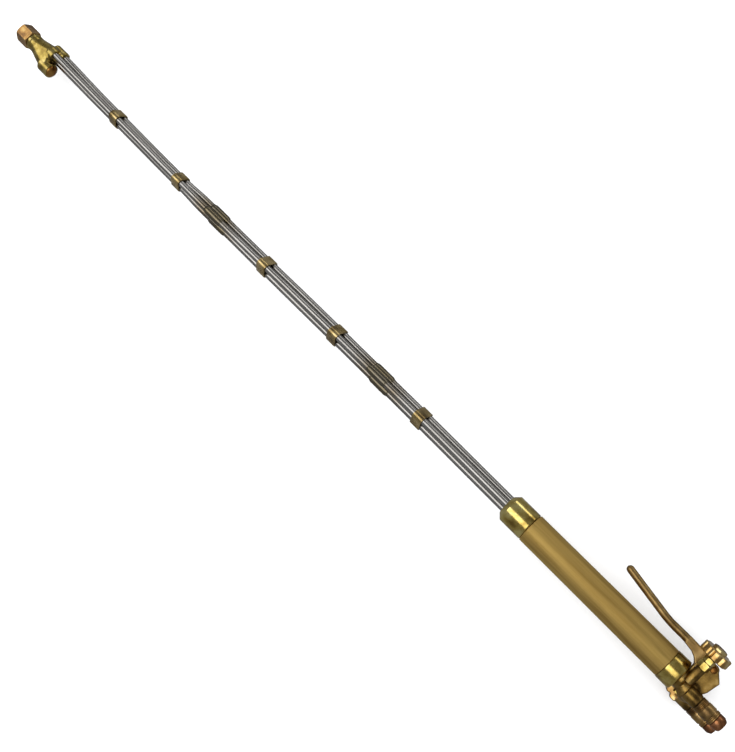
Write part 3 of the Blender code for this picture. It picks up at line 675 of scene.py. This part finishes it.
satin_brass, tree, shader = new_material("satin_brass")
coords = add(tree, "ShaderNodeTexCoord").outputs["Object"]
brushed = add(tree, "ShaderNodeMapping", {"Vector": coords, "Scale": (16.0, 420.0, 420.0)}).outputs["Vector"]
streaks = noise(tree, brushed, 1.0, 5.0)
broad = add(tree, "ShaderNodeMapping", {"Vector": coords, "Scale": (6.0, 90.0, 90.0)}).outputs["Vector"]
cloud = noise(tree, broad, 1.0, 3.0)
fine = ramp(tree, streaks, (0.3, "#AC8C48"), (0.7, "#E0C478"))
patches = ramp(tree, cloud, (0.35, "#B8944E"), (0.65, "#D8B86C"))
colour = add(tree, "ShaderNodeMix", {0: 0.5, 6: fine, 7: patches}, data_type="RGBA").outputs[2]
tree.links.new(colour, shader.inputs["Base Color"])
metal_finish(tree, shader, streaks, (0.56, 0.72), 0.15, 0.0001)

barrel = turned(
    [(barrel_start, bore), (barrel_start, HANDLE_RADIUS - 0.4), (barrel_start + 0.4, HANDLE_RADIUS),
     (barrel_end - 0.4, HANDLE_RADIUS), (barrel_end, HANDLE_RADIUS - 0.4), (barrel_end, bore)],
    AXIS, sides=HANDLE_SIDES)
finished("handle_barrel_satin", ease(barrel, 0.15), satin_brass, "torch", "satin_brass", "handle_barrel")

cap_edge = barrel_start - 0.3
cap = turned(
    [(cap_start, 0), (cap_start, CAP_MOUTH), (cap_start + 5.0, HANDLE_RADIUS - 0.2),
     (cap_edge - 1.2, HANDLE_RADIUS - 0.2), (cap_edge, HANDLE_RADIUS - 0.9), (cap_edge, bore - 0.3),
     (barrel_start + SPIGOT, bore - 0.3), (barrel_start + SPIGOT, bore - 2.3),
     (cap_start + 5.0, bore - 2.3), (cap_start + 5.0, 0)],
    AXIS, sides=HANDLE_SIDES)
ease(cap, 0.4, segments=3)
for tube in TUBE_ANGLES:
    cap = joined(cap, tube_hole(tube, [cap_start + offset for offset in (-5.0, 0.0, 5.0, 9.0)], 0.3))
finished("handle_cap_polished", cap, brass, "torch", "polished_brass", "handle_front_cap")

ferrule_start = barrel_end + 0.3
ferrule = turned(
    [(barrel_end - SPIGOT + 0.3, NOSE_BORE), (barrel_end - SPIGOT + 0.3, bore - 0.3),
     (ferrule_start, bore - 0.3), (ferrule_start, ferrule_radius - 0.3), (ferrule_start + 0.3, ferrule_radius),
     (ferrule_end - 0.9, ferrule_radius), (ferrule_end, ferrule_radius - 0.9), (ferrule_end, NOSE_BORE)],
    AXIS, sides=HANDLE_SIDES)
finished("handle_ferrule_polished", ease(ferrule, 0.2), brass, "torch", "polished_brass", "handle_rear_ferrule")


# ---------------------------------------------------------------------------------------------
# Valve body: a brass forging behind the handle. A ball of metal carries the bosses of both needle
# valves, the arms of the two hose inlets and the fork of the lever, whose faces are machined.
# ---------------------------------------------------------------------------------------------
BODY_START = 1035.0
BODY_NOSE = 10.6
SHOULDER_RADIUS = 11.9
BALL = (1071.8, -4.2, 11.9)            # station, side, radius
CUT_STATION = 1065.8                   # of the cutting oxygen valve, which runs along Y
LUG_OUTLINE = [
    (1059.2, -3.0), (1059.2, 19.5), (1064.0, 26.5), (1070.5, 30.0), (1077.0, 29.6),
    (1081.5, 25.2), (1086.6, 20.0), (1084.3, 6.5), (1080.0, -3.0),
]
LUG_HALF = 6.8
SLOT_OUTLINE = [
    (1050.0, 12.3), (1071.0, 12.3), (1071.0, 18.3), (1100.0, 18.3), (1100.0, 45.0), (1050.0, 45.0),
]
SLOT_HALF = 4.5
PIVOT = (1074.5, 25.6)
PIN_RADIUS = 2.3
ARM_RADIUS = 7.8
ARM_END = 1084.0
ARM_BORE = 5.2
CUT_BOSS_RADIUS = 6.3
CUT_BORE = 3.9
NEEDLE_BORE = 3.7
LEANING = math.radians(10)             # of the preheat valve, up from the side
INLETS = {"oxygen": (-5.9, 8.6), "fuel": (-12.4, -9.0)}
BOSS_END = 14.0                        # of a needle valve's boss, along its own axis
VALVES = {
    # base on the axis frame, direction, radius of the boss and how far in it starts
    "preheat": ((1065.3, 4.7, 10.0), (0, math.cos(LEANING), math.sin(LEANING)), 5.0, -4.0),
    "fuel": ((1071.0, -6.8, -2.5), (0, 0, -1), 6.6, -1.0),
}


def raise_faces(shape, faces, height):
    """Draws faces up along Z into a solid."""
    grown = bmesh.ops.extrude_face_region(shape, geom=faces)["geom"]
    raised = [item for item in grown if isinstance(item, bmesh.types.BMVert)]
    bmesh.ops.translate(shape, verts=raised, vec=(0, 0, height * MM))
    bmesh.ops.recalc_face_normals(shape, faces=shape.faces)


def slab(outline, low, high):
    """A plate with the given outline in X and Y, from one height to another."""
    shape = bmesh.new()
    corners = [shape.verts.new(at(station, side, low)) for station, side in outline]
    raise_faces(shape, [shape.faces.new(corners)], high - low)
    return shape


ball = bmesh.new()
bmesh.ops.create_uvsphere(ball, u_segments=64, v_segments=40, radius=BALL[2] * MM)
bmesh.ops.translate(ball, verts=ball.verts, vec=at(BALL[0], BALL[1]))
blanks = [
    ball,
    turned(
        [(1056.0, 0), (1056.0, BODY_NOSE), (1058.1, BODY_NOSE), (1058.1, SHOULDER_RADIUS),
         (1062.0, SHOULDER_RADIUS), (1064.0, SHOULDER_RADIUS - 1.4), (1064.0, 0)], AXIS),
    bar(CUT_BOSS_RADIUS, -2.0, 12.0, at(CUT_STATION), (0, 1, 0)),
    slab(LUG_OUTLINE, -LUG_HALF, LUG_HALF),
]
for side, up in INLETS.values():
    blanks.append(bar(ARM_RADIUS, 1070.5, ARM_END, at(0, side, up)))
body = forged(blanks, 8)
body = joined(body, bar(BODY_NOSE, BODY_START, 1060.0, AXIS), "UNION")
for base, direction, radius, start in VALVES.values():
    body = joined(body, ease(bar(radius, start, BOSS_END, at(*base), direction), 0.5, segments=3), "UNION")
body = joined(body, slab(SLOT_OUTLINE, -SLOT_HALF, SLOT_HALF))
body = joined(body, bar(CUT_BORE, -20.0, 17.0, at(CUT_STATION), (0, 1, 0)))
for base, direction, _, _ in VALVES.values():
    body = joined(body, bar(NEEDLE_BORE, 2.5, BOSS_END + 4, at(*base), direction))
for side, up in INLETS.values():
    body = joined(body, bar(ARM_BORE, 1076.0, ARM_END + 4, at(0, side, up)))
body = joined(body, bar(PIN_RADIUS + 0.1, -12, 12, at(*PIVOT), (0, 0, 1)))
for tube in TUBE_ANGLES:
    body = joined(body, tube_hole(tube, (1030.0, 1036.0, 1042.3), 0.2))
body_brass = polished_brass("valve_body_brass", "#B8985A", "#8E7038", "#5E4824", 0.3)
finished("valve_body_forging", body, body_brass, "torch", "polished_brass", "valve_body")


# ---------------------------------------------------------------------------------------------
# Lever: a dark bronze forging. A round bar flattens into a root with an eye for the pivot pin and
# a foot that presses the cutting oxygen plunger.
# ---------------------------------------------------------------------------------------------
LEVER_BAR = [
    # station, side, radius
    (959.8, 39.7, 4.0), (985.0, 35.4, 4.0), (1004.0, 32.2, 4.0), (1012.0, 30.8, 4.0), (1019.0, 30.1, 4.0),
    (1028.0, 29.95, 4.15), (1038.0, 29.9, 4.2), (1048.0, 29.6, 4.2),
]
LEVER_HALF = 4.1
EYE_RADIUS = 5.6
FOOT = (1065.8, 20.8, 3.3)


def arc(centre, radius, first, last, count):
    """Points on an arc, in degrees, ends included."""
    angles = [math.radians(first + (last - first) * index / (count - 1)) for index in range(count)]
    return [(centre[0] + radius * math.cos(a), centre[1] + radius * math.sin(a)) for a in angles]


tip_point = Vector(at(*LEVER_BAR[0][:2]))
run_in = (tip_point - at(*LEVER_BAR[1][:2])).normalized()
tip_round = [(3.95, 0.4), (3.7, 1.6), (3.1, 2.6), (2.1, 3.4), (1.0, 3.85)]
points = [tip_point + run_in * ahead * MM for ahead, _ in tip_round] + [at(x, y) for x, y, _ in LEVER_BAR]
radii = [radius for _, radius in tip_round] + [radius for _, _, radius in LEVER_BAR]
root_outline = (
    [(1040.0, 25.6), (1050.0, 24.1), (1054.5, 22.0), (1057.4, 19.5), (1058.7, 17.9), (1060.5, 17.4)]
    + arc(FOOT[:2], FOOT[2], 255.0, 335.0, 7)
    + arc(PIVOT, EYE_RADIUS, 250.0, 460.0, 20)
    + [(1066.0, 31.8), (1054.0, 33.4), (1040.0, 34.0)]
)
lever = forged([swept(points, radii), slab(root_outline, -LEVER_HALF, LEVER_HALF)], 6)
lever = joined(lever, bar(PIN_RADIUS + 0.1, -12, 12, at(*PIVOT), (0, 0, 1)))

bronze, tree, shader = new_material("cast_bronze")
coords = add(tree, "ShaderNodeTexCoord").outputs["Object"]
grain = noise(tree, coords, 1 / 0.0011, 4.0)
patina = noise(tree, coords, 1 / 0.014, 4.0)
tree.links.new(
    ramp(tree, patina, (0.3, "#7A6038"), (0.55, "#A28452"), (0.72, "#BCA06A")), shader.inputs["Base Color"])
metal_finish(tree, shader, grain, (0.3, 0.46), 0.25, 0.0002)
finished("lever_forging", lever, bronze, "lever", "lever_bronze", "lever")


# ---------------------------------------------------------------------------------------------
# Lever pin and its clip, of dull brass, and the cutting valve's bright steel plunger and polished
# brass gland nut: small turned pieces.
# ---------------------------------------------------------------------------------------------
PIN_HEAD = 3.4

steel = stainless("turned_steel", "#C4C2BE", "#9A9792", ("#8E8A84", "#A5A19B"))
pin = turned(
    [(-8.4, 0), (-8.4, 1.9), (-8.1, PIN_RADIUS), (7.1, PIN_RADIUS), (7.1, PIN_HEAD), (7.7, PIN_HEAD),
     (8.1, 2.7), (8.1, 0)],
    at(*PIVOT), (0, 0, 1), 48)
finished("lever_pin_turned", ease(pin, 0.12), dull_brass, "torch", "dull_brass", "lever_pin")
clip = turned(
    [(-8.1, PIN_RADIUS + 0.05), (-8.1, PIN_HEAD), (-7.1, PIN_HEAD), (-7.1, PIN_RADIUS + 0.05)],
    at(*PIVOT), (0, 0, 1), 48)
finished("lever_pin_ring", ease(clip, 0.15), dull_brass, "torch", "dull_brass", "lever_pin_clip")

plunger = turned(
    [(0.8, 0), (0.8, 1.9), (16.4, 1.9), (17.0, 1.5), (17.2, 0.8), (17.2, 0)], at(CUT_STATION), (0, 1, 0), 48)
finished(
    "cutting_plunger_turned", ease(plunger, 0.1), steel, "cutting_plunger", "plain_steel", "cutting_plunger")
gland = turned(
    [(8.5, 2.2), (8.5, 3.6), (12.6, 3.6), (12.6, 4.2), (14.2, 4.2), (14.6, 3.8), (14.6, 2.2)],
    at(CUT_STATION), (0, 1, 0), 48)
finished("cutting_gland_turned", ease(gland, 0.12), brass, "torch", "polished_brass", "cutting_gland")


# ---------------------------------------------------------------------------------------------
# Needle valves: a hexagonal bonnet screwed into each boss, a small gland nut on it, and a brass
# handwheel with eight lobes round a raised hub, held on its spindle by a slotted screw.
# ---------------------------------------------------------------------------------------------
BONNET_FLATS = 10.7
BONNET_END = 21.5
GLAND_FLATS = 9.8
GLAND_END = 27.4
SPINDLE_RADIUS = 2.1
KNOB_START = 28.4
KNOB_RIM_END = 37.3
KNOB_END = 40.5
HUB_RADIUS = 7.2
KNOB_RADIUS = 14.8
LOBES = 8
LOBE_SIDES = 20
SCALLOP = 2.2                  # depth between the lobes

knob_brass = polished_brass("handwheel_brass", "#E8D094", "#C29C5C", "#86643A", 0.17)


def handwheel(origin, direction):
    """A round knob with scallops between its lobes, a hub on its outer face and eased edges."""
    shape = bmesh.new()
    bmesh.ops.create_circle(shape, segments=LOBES * LOBE_SIDES, radius=KNOB_RADIUS * MM, cap_ends=True)
    for vert in shape.verts:
        angle = math.atan2(vert.co.y, vert.co.x)
        depth = SCALLOP * (0.5 - 0.5 * math.cos(LOBES * angle)) ** 3
        vert.co *= 1 - depth / KNOB_RADIUS
    bmesh.ops.translate(shape, verts=shape.verts, vec=(0, 0, KNOB_START * MM))
    raise_faces(shape, list(shape.faces), KNOB_RIM_END - KNOB_START)
    ease(shape, 2.6, 60.0, 5)
    shape = joined(shape, turned(
        [(KNOB_START + 1, 0), (KNOB_START + 1, HUB_RADIUS), (KNOB_END - 0.9, HUB_RADIUS),
         (KNOB_END - 0.3, HUB_RADIUS - 0.25), (KNOB_END, HUB_RADIUS - 0.9), (KNOB_END, 0)],
        (0, 0, 0), (0, 0, 1), 96), "UNION")
    shape = joined(shape, turned(
        [(KNOB_START - 1, 0), (KNOB_START - 1, SPINDLE_RADIUS + 0.1),
         (KNOB_END - 2.9, SPINDLE_RADIUS + 0.1), (KNOB_END - 2.4, 4.6), (KNOB_END + 1, 4.6), (KNOB_END + 1, 0)],
        (0, 0, 0), (0, 0, 1), 48))
    return aimed(shape, origin, direction)


for valve, (base, direction, _, _) in VALVES.items():
    origin = at(*base)
    bonnet = hexagon(BONNET_FLATS, BOSS_END + 0.3, BONNET_END, origin, direction, (0.7, 0.7))
    bonnet = joined(bonnet, bar(3.4, 7.0, BOSS_END + 1, origin, direction, 48), "UNION")
    bonnet = joined(bonnet, turned(
        [(6, 0), (6, 2.4), (18.6, 2.4), (18.6, 4.3), (23, 4.3), (23, 0)], origin, direction, 48))
    finished(
        valve + "_bonnet_hexagon", ease(bonnet, 0.12), brass, "torch", "polished_brass", valve + "_bonnet")
    small_nut = hexagon(GLAND_FLATS, BONNET_END + 0.3, GLAND_END, origin, direction, (0.6, 1.0))
    small_nut = joined(small_nut, bar(SPINDLE_RADIUS + 0.3, 20, 30, origin, direction, 48))
    finished(
        valve + "_gland_hexagon", ease(small_nut, 0.12), brass, "torch", "polished_brass", valve + "_gland_nut")
    finished(
        valve + "_handwheel", handwheel(origin, direction), knob_brass, valve + "_knob", "polished_brass",
        valve + "_knob")
    screw = turned(
        [(KNOB_END - 2.1, 0), (KNOB_END - 2.1, 3.9), (KNOB_END - 1.1, 3.9), (KNOB_END - 0.6, 3.3),
         (KNOB_END - 0.4, 2.0), (KNOB_END - 0.35, 0)], (0, 0, 0), (0, 0, 1), 48)
    groove = bmesh.new()
    bmesh.ops.create_cube(groove, size=1.0)
    bmesh.ops.scale(groove, verts=groove.verts, vec=(10 * MM, 0.9 * MM, 2 * MM))
    bmesh.ops.translate(groove, verts=groove.verts, vec=(0, 0, (KNOB_END - 0.1) * MM))
    screw = aimed(joined(screw, groove), origin, direction)
    finished(
        valve + "_slotted_screw", ease(screw, 0.1), steel, valve + "_knob", "plain_steel",
        valve + "_knob_screw")


# ---------------------------------------------------------------------------------------------
# Hose inlets: a check valve's housing screwed into each arm, and the threaded end nut that the
# hose's connector seats in. Brass with a reddish tarnish, and ridges from the die.
# ---------------------------------------------------------------------------------------------
HOUSING_RADIUS = 8.1
HOUSING_END = 1103.6
END_NUT_RADIUS = 7.7
INLET_END = station_of(cad_box[1][0])
RIDGE_PITCH = 1.41             # 18 threads to the inch
RIDGE_DEPTH = 0.75


def ridges(start, count, radius):
    """A thread's crests and roots along a turned piece."""
    profile = []
    for index in range(count):
        foot = start + index * RIDGE_PITCH
        profile += [(foot, radius - RIDGE_DEPTH), (foot + 0.55, radius), (foot + 0.85, radius)]
    return profile + [(start + count * RIDGE_PITCH, radius - RIDGE_DEPTH)]


housing_brass = polished_brass("check_valve_brass", "#D8B47C", "#AC8A54", "#745A38", 0.34)
inlet_brass = polished_brass("inlet_brass", "#D09468", "#A87048", "#6E4A30", 0.3)
housing_start = ARM_END + 0.3
for gas, (side, up) in INLETS.items():
    line = at(0, side, up)
    housing = turned(
        [(1077.0, 2.2), (1077.0, 4.9), (housing_start, 4.9), (housing_start, 7.0)]
        + ridges(housing_start + 0.3, 4, HOUSING_RADIUS - 0.1)
        + [(1091.0, HOUSING_RADIUS - 0.1), (1091.3, HOUSING_RADIUS), (1099.0, HOUSING_RADIUS),
           (1099.4, HOUSING_RADIUS - 0.8), (1100.3, HOUSING_RADIUS - 0.8), (1100.7, HOUSING_RADIUS),
           (1101.6, HOUSING_RADIUS), (1102.0, HOUSING_RADIUS - 0.6), (1102.4, HOUSING_RADIUS),
           (HOUSING_END - 0.4, HOUSING_RADIUS), (HOUSING_END, HOUSING_RADIUS - 0.5), (HOUSING_END, 5.0),
           (housing_start + 3, 5.0), (housing_start + 3, 2.2)],
        line, sides=72)
    finished(
        gas + "_check_housing", ease(housing, 0.1), housing_brass, "torch", "dull_brass", gas + "_check_valve")
    end_nut = turned(
        [(HOUSING_END - 8, 3.1), (HOUSING_END - 8, 4.7), (HOUSING_END + 0.3, 4.7),
         (HOUSING_END + 0.3, END_NUT_RADIUS - 0.5), (HOUSING_END + 0.8, END_NUT_RADIUS),
         (INLET_END - 3.4, END_NUT_RADIUS), (INLET_END - 0.3, 6.0),
         (INLET_END, 5.7), (INLET_END, 4.4), (INLET_END - 5, 3.1)],
        line, sides=72)
    finished(gas + "_end_nut_turned", ease(end_nut, 0.2), inlet_brass, "torch", "dull_brass", gas + "_end_nut")


# ---------------------------------------------------------------------------------------------
# Inside pieces, which keep their plain solids: springs, poppets, needles and spindles of steel,
# a brass seat and plug, and packings of black nitrile rubber.
# ---------------------------------------------------------------------------------------------
rubber, tree, shader = new_material("nitrile_rubber")
coords = add(tree, "ShaderNodeTexCoord").outputs["Object"]
bloom = noise(tree, coords, 1 / 0.0008, 3.0)
tree.links.new(ramp(tree, bloom, (0.3, "#1B1B1C"), (0.7, "#2A2A2B")), shader.inputs["Base Color"])
shader.inputs["Roughness"].default_value = 0.75
shader.inputs["Specular IOR Level"].default_value = 0.4

INSIDE = {
    "cutting_spring": steel, "cutting_poppet": steel, "cutting_seat": brass, "cutting_bore_plug": brass,
    "cutting_plunger_seal": rubber, "preheat_packing": rubber, "fuel_packing": rubber,
    "preheat_needle": steel, "fuel_needle": steel, "preheat_spindle": steel, "fuel_spindle": steel,
    "oxygen_check_poppet": steel, "fuel_check_poppet": steel,
    "oxygen_check_spring": steel, "fuel_check_spring": steel,
}
for node, material in INSIDE.items():
    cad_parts[node].material_slots[0].material = material
